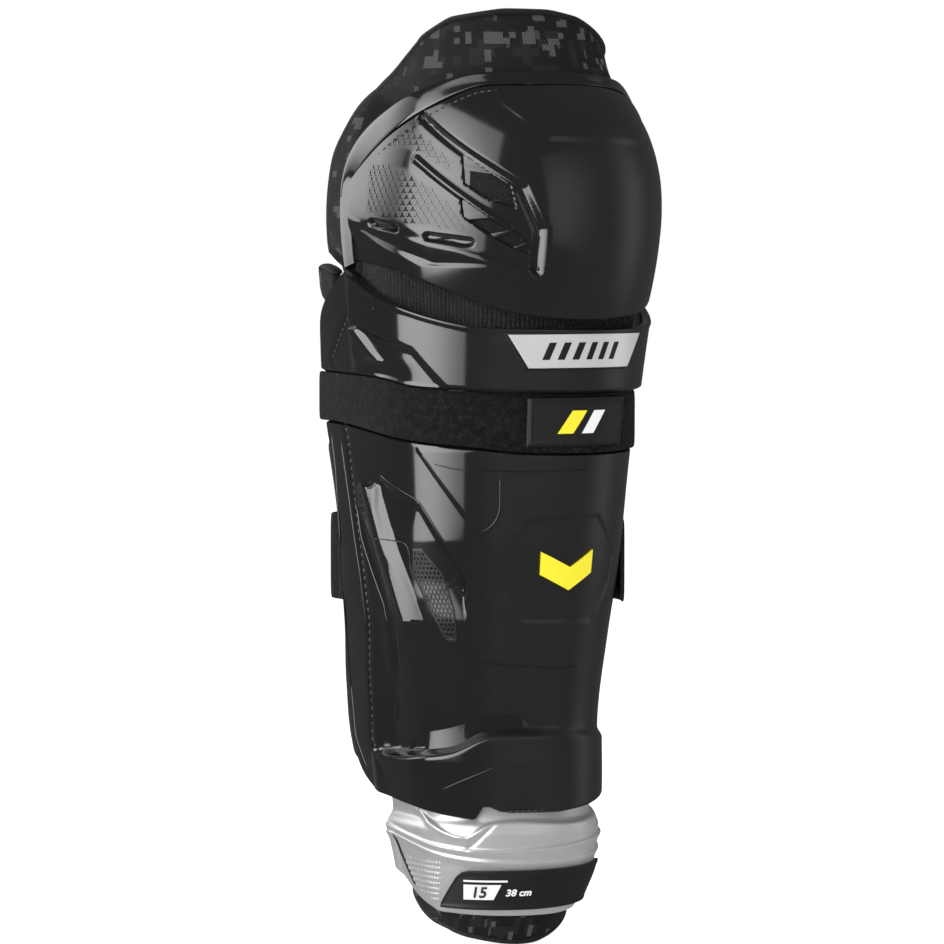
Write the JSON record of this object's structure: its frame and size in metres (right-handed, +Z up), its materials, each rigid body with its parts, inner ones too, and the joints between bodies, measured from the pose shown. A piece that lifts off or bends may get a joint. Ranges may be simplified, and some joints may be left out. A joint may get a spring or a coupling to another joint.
{
  "type": "ice hockey shin guard",
  "caption": "Right leg shin guard with a moulded shin shell, tilting knee cap, flexing ankle guard, padded linings, calf flaps and elastic straps",
  "frame": {"origin": "on the leg axis, level with the bottom edge of the ankle lining", "axes": "+Z up the leg, -Y to the front, -X to the outer side of the right leg"},
  "size_m": [0.1662, 0.178, 0.4899],
  "materials": {
    "black_gloss": "glossy moulded black",
    "black_satin": "satin moulded black with fine embossing",
    "polished_plate": "polished blank plate",
    "yellow_print": "plain yellow",
    "white_print": "plain white",
    "foam": "closed cell foam",
    "lining": "charcoal knit with a lighter block print",
    "mesh": "black open mesh",
    "silver_guard": "satin silver grey",
    "band_rubber": "matte black rubber",
    "binding": "black rolled tape and thread",
    "strap": "black brushed loop elastic",
    "rivet_metal": "dull steel"
  },
  "bodies": {
    "shin": {"shin_shell": "black_gloss", "shin_badge": "polished_plate", "front_chevron": "yellow_print", "shin_foam": "foam", "shin_lining": "lining", "breather_mesh": "mesh", "knee_gusset": "mesh", "upper_strap": "strap", "lower_strap": "strap", "outer_edge_bead": "band_rubber", "inner_edge_bead": "band_rubber", "outer_rivet": "rivet_metal", "inner_rivet": "rivet_metal"},
    "ankle": {"ankle_guard": "silver_guard", "size_band": "band_rubber", "size_plate": "white_print", "ankle_lining": "lining"},
    "knee": {"knee_cap": "black_satin", "vent_mesh_upper": "mesh", "vent_mesh_lower": "mesh", "knee_rim": "black_gloss", "knee_foam": "foam", "knee_lining": "lining", "knee_binding_outer": "binding", "knee_binding_inner": "binding"},
    "thigh": {"thigh_flap": "lining", "thigh_binding": "binding"},
    "outer_calf": {"outer_calf_flap": "lining", "outer_calf_binding": "binding"},
    "inner_calf": {"inner_calf_flap": "lining", "inner_calf_binding": "binding"},
    "front_tab": {"pull_tab": "band_rubber", "tab_bar_yellow": "yellow_print", "tab_bar_white": "white_print"},
    "rear_tab": {"lower_strap_tab": "strap"}
  },
  "joints": [
    {"name": "knee_tilt", "type": "hinge", "parent": "shin", "child": "knee", "pos_m": [0, 0.025, 0.355], "axis": [-1, 0, 0], "range_deg": [0, 15]},
    {"name": "thigh_fold", "type": "hinge", "parent": "knee", "child": "thigh", "pos_m": [0, -0.032, 0.45], "axis": [-1, 0, 0], "range_deg": [-3, 5]},
    {"name": "ankle_flex", "type": "hinge", "parent": "shin", "child": "ankle", "pos_m": [0, 0.01, 0.068], "axis": [1, 0, 0], "range_deg": [-6, 8]},
    {"name": "outer_calf_fold", "type": "hinge", "parent": "shin", "child": "outer_calf", "pos_m": [-0.0535, 0.05, 0.24], "axis": [0.086, 0, -0.9963], "range_deg": [0, 18]},
    {"name": "inner_calf_fold", "type": "hinge", "parent": "shin", "child": "inner_calf", "pos_m": [0.048, 0.0075, 0.23], "axis": [0.124, 0, 0.9923], "range_deg": [0, 18]},
    {"name": "front_tab_peel", "type": "hinge", "parent": "shin", "child": "front_tab", "pos_m": [0.03, -0.06, 0.276], "axis": [0, 0, 1], "range_deg": [0, 60]},
    {"name": "rear_tab_peel", "type": "hinge", "parent": "shin", "child": "rear_tab", "pos_m": [0.0626, -0.0022, 0.2], "axis": [0.119, 0, 0.9929], "range_deg": [0, 60]}
  ]
}
